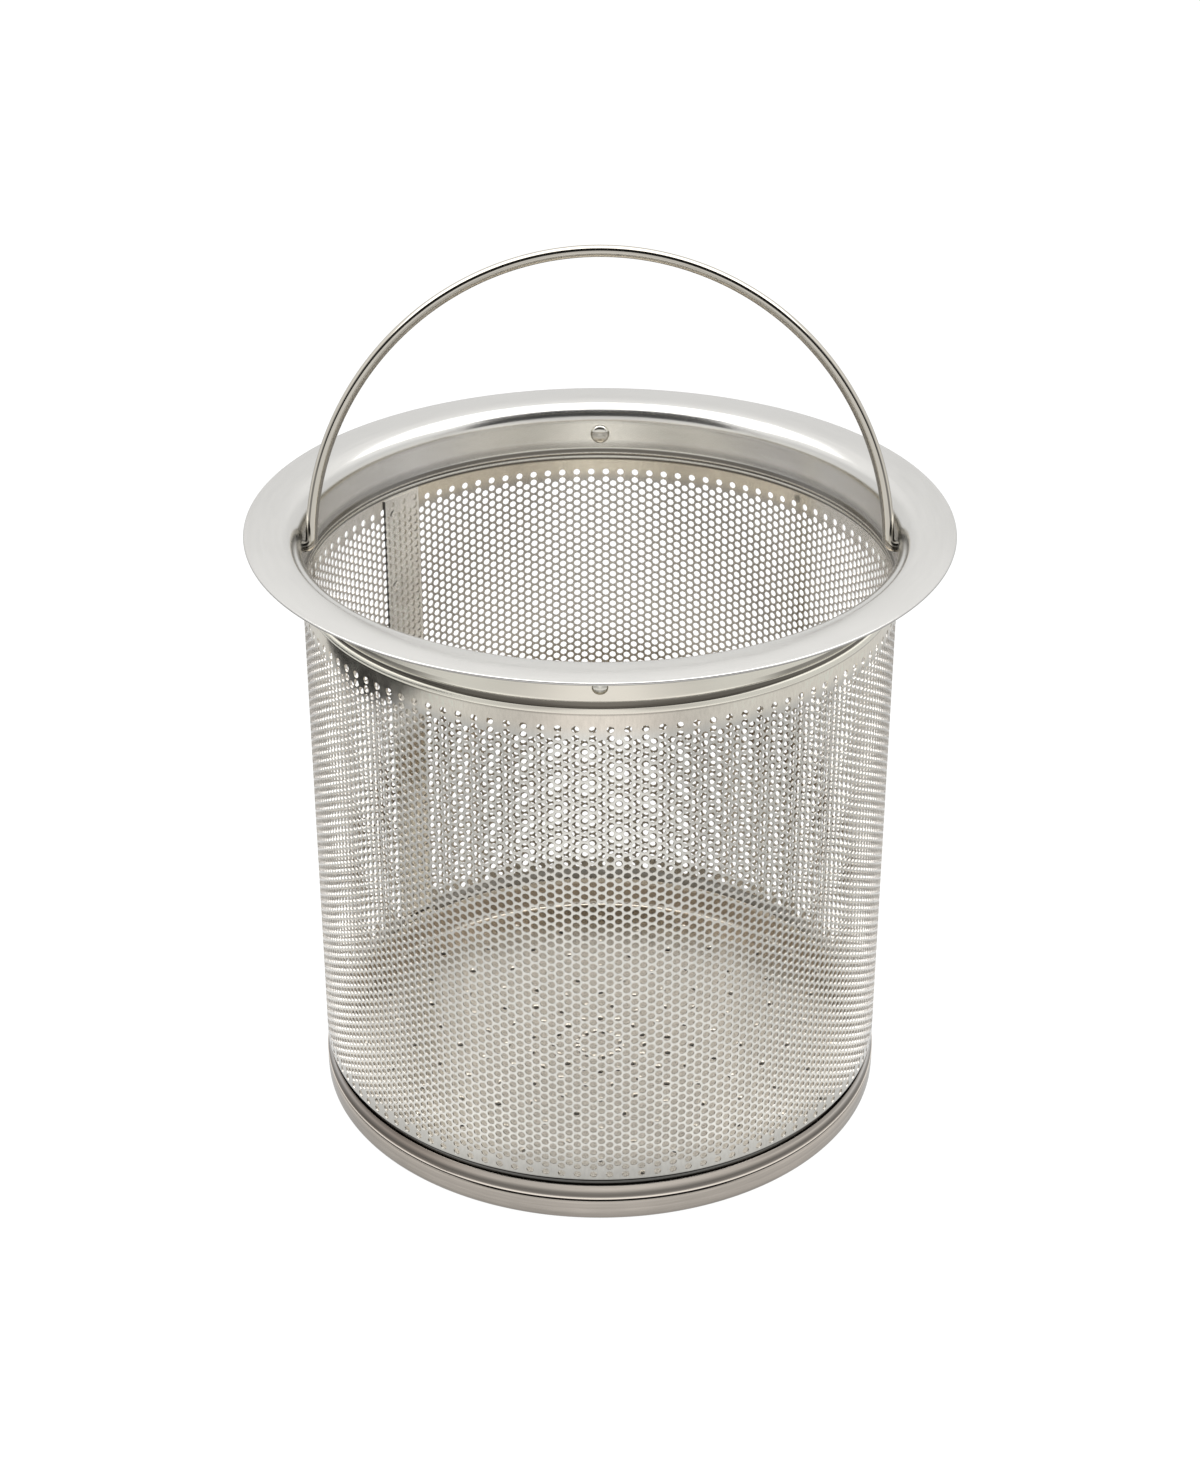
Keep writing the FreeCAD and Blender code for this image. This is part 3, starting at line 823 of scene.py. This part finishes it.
def lengthen(column, levels):
    """Plain sheet above or below a column of holes, in steps to these levels."""
    ends = [vertex.co.y for vertex in column.data.vertices]
    edge = max(ends) if levels[0] > max(ends) else min(ends)
    select_points(column, lambda co: abs(co.y - edge) < NEAR)
    for level in levels:
        bpy.ops.mesh.extrude_edges_indiv()
        bpy.ops.transform.translate(value=(0, level - edge, 0))
        edge = level
    bpy.ops.object.mode_set(mode="OBJECT")


def column_of_holes(count, low, pitch, width, hole, above, below):
    """A column of holes with plain sheet at both ends."""
    column = punched_cell(width, pitch, hole)
    modify(
        column, "ARRAY", use_relative_offset=False, use_constant_offset=True,
        constant_offset_displace=(0, pitch, 0), count=count, use_merge_vertices=True, merge_threshold=NEAR,
    )
    column.location = (0, low, 0)
    settle(column)
    lengthen(column, above)
    lengthen(column, below)
    return column


def flat_sheet(name, sizes, pairs, lift=0.0, top=None):
    """A flat stretch of punched sheet: long and short columns in turn, their holes lifted by a little."""
    pitch = (sizes.high - sizes.low) / (sizes.rows - 1)
    width = 2 * math.pi * sizes.radius / (2 * sizes.pairs)
    half = pitch / 2
    low = sizes.low + lift
    upper = sizes.high + lift + half
    lower = low - half
    # The lower end has short steps where it tucks in
    ends = [top or sizes.top], [lower - step * MM for step in (0.35, 0.7, 1.05, 1.3)] + [sizes.foot]
    long_column = column_of_holes(sizes.rows, low, pitch, width, sizes.hole, *ends)
    short_ends = (
        [upper - 2 * half, upper - half, upper] + ends[0],
        [lower + 2 * half, lower + half, lower] + ends[1],
    )
    short_column = column_of_holes(
        sizes.rows - 3, low + 3 * half, pitch, width, sizes.hole, *short_ends
    )
    short_column.location = (width, 0, 0)
    settle(short_column)
    hold(long_column, short_column)
    bpy.ops.object.join()
    sheet = take(name)
    modify(
        sheet, "ARRAY", use_relative_offset=False, use_constant_offset=True,
        constant_offset_displace=(2 * width, 0, 0), count=pairs,
    )
    return sheet


def roll(sheet, sizes, start, inset=0.0, thickness=None):
    """Gives a flat sheet its thickness and rolls it round the axis, tucked in above the ring."""
    close_up(sheet)
    # An open sheet has no outside, so its faces may look down
    if sheet.data.polygons[0].normal.z < 0:
        hold(sheet)
        bpy.ops.object.mode_set(mode="EDIT")
        bpy.ops.mesh.select_all(action="SELECT")
        bpy.ops.mesh.flip_normals()
        bpy.ops.object.mode_set(mode="OBJECT")
    modify(sheet, "SOLIDIFY", thickness=thickness or sizes.sheet, offset=-1)
    mesh = sheet.data
    points = np.empty(len(mesh.vertices) * 3, np.float32)
    mesh.vertices.foreach_get("co", points)
    along, level, depth = points.reshape(-1, 3).astype(float).T
    tuck = np.clip((TUCK_TOP - level) / TUCK_HEIGHT, 0, 1)
    tuck = tuck * tuck * (3 - 2 * tuck) * TUCK_DEPTH
    angle = start + along / sizes.radius
    radius = sizes.radius + depth - inset - tuck
    rolled = np.stack([radius * np.cos(angle), radius * np.sin(angle), level], axis=1)
    mesh.vertices.foreach_set("co", rolled.astype(np.float32).ravel())
    mesh.update()
    smooth(sheet, 40)


class STRAINER_OT_screen(bpy.types.Operator):
    """Punched sheet round the basket, in four panels, and its lapped seam"""

    bl_idname = "strainer.screen"
    bl_label = "Screen"

    def execute(self, context):
        sizes = settings().strainer_screen
        skin = sizes.radius - sizes.sheet
        steel = sheet_steel("rolled_steel", sizes, sizes.inside, sizes.margin_inside, skin, sizes.radius)
        pair_turn = 2 * math.pi / sizes.pairs
        lap_pairs = 3
        panels = 4
        start = sizes.seam_turn + lap_pairs * pair_turn
        for index in range(panels):
            pairs = (sizes.pairs - lap_pairs + panels - 1 - index) // panels
            panel = flat_sheet(f"screen_panel_{index + 1}", sizes, pairs)
            roll(panel, sizes, start)
            start += pairs * pair_turn
            finish_piece(panel, steel, BASKET, "screen", "side_screen")
        self.lap(sizes, lap_pairs, pair_turn)
        return {"FINISHED"}

    def lap(self, sizes, pairs, pair_turn):
        """The punched end over the plain end of the sheet, and the spot welds."""
        inset = sizes.sheet + 0.02 * MM
        pressed = 0.25 * MM
        skin = sizes.radius - inset
        steel = sheet_steel("seam_steel", sizes, sizes.lap, sizes.lap, skin - pressed, skin)
        half_column = pair_turn / 4
        deselect()
        bpy.ops.mesh.primitive_grid_add(x_subdivisions=12, y_subdivisions=132, size=1)
        outer = take("seam_outer")
        outer.scale = (pairs * pair_turn * sizes.radius, sizes.top - sizes.foot, 1)
        outer.location = (0, (sizes.top + sizes.foot) / 2, 0)
        settle(outer)
        roll(outer, sizes, sizes.seam_turn + pairs * pair_turn / 2 - half_column)
        finish_piece(outer, steel, BASKET, "screen")
        inner = flat_sheet("seam_inner", sizes, pairs, lift=0.95 * MM, top=118.7 * MM)
        start = sizes.seam_turn + 0.17 * pair_turn
        roll(inner, sizes, start, inset, pressed)
        end = start + pairs * pair_turn - half_column
        # A slightly darker copy of the lap tint, painted shade on the punched inner layer
        shaded_lap = [part * 0.97 for part in sizes.lap]
        sheared = sheet_steel("sheared_steel", sizes, shaded_lap, shaded_lap, skin - pressed, skin, end)
        finish_piece(inner, sheared, BASKET, "screen")
        face = skin - pressed + 0.03 * MM
        for index in range(WELDS):
            weld = lathe(f"spot_weld_{index + 1}", in_mm(WELD_PROFILE), 20)
            weld.rotation_euler = (0, -math.pi / 2, WELD_TURN)
            level = TOP_WELD - index * WELD_PITCH
            weld.location = (face * math.cos(WELD_TURN), face * math.sin(WELD_TURN), level)
            settle(weld)
            smooth(weld, 60)
            finish_piece(weld, steel, BASKET, "screen")


class STRAINER_OT_floor(bpy.types.Operator):
    """Floor with a turned-up rim and rings of drain holes"""

    bl_idname = "strainer.floor"
    bl_label = "Floor"

    def execute(self, context):
        sizes = settings().strainer_floor
        foot = 0.6 * MM
        deselect()
        bpy.ops.mesh.primitive_cylinder_add(
            vertices=TURN_SIDES, radius=sizes.radius, depth=sizes.rim - foot,
            location=(0, 0, (sizes.rim + foot) / 2),
        )
        pan = take("floor_pan")
        settle(pan)
        select_points(pan, lambda co: co.z > sizes.rim - NEAR)
        bpy.ops.mesh.select_mode(type="FACE")
        bpy.ops.mesh.inset(thickness=0.5 * MM)
        bpy.ops.mesh.extrude_region_move(TRANSFORM_OT_translate={"value": (0, 0, sizes.level - sizes.rim)})
        bpy.ops.object.mode_set(mode="OBJECT")
        select_points(pan, lambda co: abs(co.z - sizes.level) < NEAR)
        bpy.ops.mesh.bevel(offset=0.9 * MM, segments=5, affect="EDGES")
        bpy.ops.object.mode_set(mode="OBJECT")
        modify(pan, "BEVEL", width=0.2 * MM, segments=3, limit_method="ANGLE", angle_limit=math.radians(40))
        cut_away(pan, self.punches(sizes))
        smooth(pan, 25)
        steel = pan_steel("floor_steel", sizes)
        finish_piece(pan, steel, BASKET, "floor", "floor_plate")
        return {"FINISHED"}

    def punches(self, sizes):
        """One punch for each drain hole, with a countersink at the floor's upper face."""
        deselect()
        sink = sizes.level - 0.2 * MM
        bpy.ops.mesh.primitive_cylinder_add(
            vertices=14, radius=sizes.hole, depth=1.6 * MM, location=(0, 0, sink - 0.8 * MM)
        )
        punch = take("punch")
        settle(punch)
        select_points(punch, lambda co: co.z > sink - NEAR)
        bpy.ops.mesh.extrude_region_move(TRANSFORM_OT_translate={"value": (0, 0, 0.22 * MM)})
        bpy.ops.transform.resize(value=(1.46, 1.46, 1), center_override=(0, 0, 0))
        bpy.ops.object.mode_set(mode="OBJECT")
        copies = []
        for ring in range(1, sizes.rings + 1):
            reach = (5.34 * ring - 0.36) * MM
            for hole in range(sizes.ring_holes):
                step = hole + (0.5 if ring % 2 else 0)
                angle = 2 * math.pi * step / sizes.ring_holes - math.pi / 2
                copy = punch.copy()
                copy.data = punch.data.copy()
                copy.location = (reach * math.cos(angle), reach * math.sin(angle), 0)
                bpy.context.scene.collection.objects.link(copy)
                copies.append(copy)
        bpy.data.objects.remove(punch, do_unlink=True)
        hold(*copies)
        bpy.ops.object.join()
        return take("punches")


class STRAINER_OT_ring(bpy.types.Operator):
    """Bottom ring of two rolled bands with a groove between them"""

    bl_idname = "strainer.ring"
    bl_label = "Bottom ring"

    def execute(self, context):
        sizes = settings().strainer_ring
        out, top, groove = sizes.radius / MM, sizes.height / MM, sizes.groove / MM
        profile = [(out - 5.8, 0.0), (out - 1.6, 0.0)]
        profile += arc((out - 1.45, 1.5), 1.5, -84, 0, 9)
        profile += [
            (out + 0.1, 2.6), (out + 0.1, 3.6), (out + 0.03, groove - 0.6), (out - 0.08, groove - 0.3),
            (out - 0.25, groove - 0.16), (out - 0.5, groove - 0.1), (out - 0.5, groove + 0.08),
        ]
        profile += arc((out - 0.12, groove + 0.45), 0.24, -75, 40, 6)
        profile += [
            (out - 0.2, groove + 1.05), (out - 0.36, groove + 1.45), (out - 0.42, groove + 1.85),
            (out - 0.44, groove + 2.35),
        ]
        profile += arc((out - 0.62, top - 0.18), 0.18, 0, 180, 6)
        profile += [(out - 0.8, top - 0.9), (out - 0.8, 1.4), (out - 1.0, 0.62), (out - 5.8, 0.6)]
        piece = lathe("bottom_band", in_mm(profile))
        smooth(piece, 35)
        finish_piece(piece, ring_steel("band_steel", sizes), BASKET, "ring", "bottom_ring")
        return {"FINISHED"}


class STRAINER_OT_bail(bpy.types.Operator):
    """Wire bail: a bow between two bends, with pins in the collar"""

    bl_idname = "strainer.bail"
    bl_label = "Bail"

    def execute(self, context):
        sizes = settings().strainer_bail
        level = PIVOT[2]
        bend_x = math.sqrt((sizes.bow + sizes.bend) ** 2 - (sizes.bend - sizes.rise) ** 2)
        tilt = math.asin((sizes.bend - sizes.rise) / (sizes.bow + sizes.bend))
        quarter = math.pi / 2 + tilt
        deselect()
        bpy.ops.mesh.primitive_circle_add(
            vertices=WIRE_SIDES, radius=sizes.wire,
            location=(-sizes.pin, 0, level), rotation=(0, math.pi / 2, 0),
        )
        piece = take("bail")
        settle(piece)
        bpy.ops.object.mode_set(mode="EDIT")
        bpy.ops.mesh.select_all(action="SELECT")
        bpy.ops.mesh.extrude_edges_indiv()
        bpy.ops.transform.translate(value=(sizes.pin - bend_x, 0, 0))
        bpy.ops.mesh.spin(
            steps=10, angle=quarter, center=(-bend_x, 0, level + sizes.bend), axis=(0, 1, 0)
        )
        bpy.ops.mesh.spin(
            steps=120, angle=2 * tilt - math.pi, center=(0, 0, level + sizes.rise), axis=(0, 1, 0)
        )
        bpy.ops.mesh.spin(
            steps=10, angle=quarter, center=(bend_x, 0, level + sizes.bend), axis=(0, 1, 0)
        )
        bpy.ops.mesh.extrude_edges_indiv()
        bpy.ops.transform.translate(value=(sizes.pin - bend_x, 0, 0))
        bpy.ops.object.mode_set(mode="OBJECT")
        for side in (-1, 1):
            select_points(piece, lambda co: side * co.x > sizes.pin - NEAR)
            bpy.ops.mesh.edge_face_add()
            bpy.ops.object.mode_set(mode="OBJECT")
        close_up(piece)
        modify(piece, "BEVEL", width=0.2 * MM, segments=2, limit_method="ANGLE", angle_limit=math.radians(60))
        cosine, sine = math.cos(sizes.lean), math.sin(sizes.lean)
        for vertex in piece.data.vertices:
            y, z = vertex.co.y, vertex.co.z - level
            vertex.co.y = y * cosine + z * sine
            vertex.co.z = level + z * cosine - y * sine
        smooth(piece, 40)
        steel = polished_steel("polished_wire", sizes)
        finish_piece(piece, steel, HANDLE, "wire", "carry_handle")
        return {"FINISHED"}


class STRAINER_PT_pieces(bpy.types.Panel):
    """Sizes, colours and the operators that make the pieces"""

    bl_label = "Sink Strainer"
    bl_space_type = "VIEW_3D"
    bl_region_type = "UI"
    bl_category = "Strainer"

    def draw(self, context):
        for operator in OPERATORS:
            self.layout.operator(operator.bl_idname)
        for name, group in GROUPS.items():
            box = self.layout.box()
            for prop in group.__annotations__:
                box.prop(getattr(context.scene, name), prop)


GROUPS = {
    "strainer_flange": StrainerFlange,
    "strainer_screen": StrainerScreen,
    "strainer_floor": StrainerFloor,
    "strainer_ring": StrainerRing,
    "strainer_bail": StrainerBail,
}
OPERATORS = (
    STRAINER_OT_stage,
    STRAINER_OT_flange,
    STRAINER_OT_screen,
    STRAINER_OT_floor,
    STRAINER_OT_ring,
    STRAINER_OT_bail,
)


def register():
    for group in GROUPS.values():
        bpy.utils.register_class(group)
    for name, group in GROUPS.items():
        setattr(bpy.types.Scene, name, bpy.props.PointerProperty(type=group))
    for operator in OPERATORS:
        bpy.utils.register_class(operator)
    bpy.utils.register_class(STRAINER_PT_pieces)


def unregister():
    bpy.utils.unregister_class(STRAINER_PT_pieces)
    for operator in reversed(OPERATORS):
        bpy.utils.unregister_class(operator)
    for name, group in GROUPS.items():
        delattr(bpy.types.Scene, name)
        bpy.utils.unregister_class(group)


def main():
    register()
    bpy.ops.strainer.stage()
    bpy.ops.strainer.flange()
    bpy.ops.strainer.screen()
    bpy.ops.strainer.floor()
    bpy.ops.strainer.ring()
    bpy.ops.strainer.bail()
    deselect()


if __name__ == "__main__":
    main()
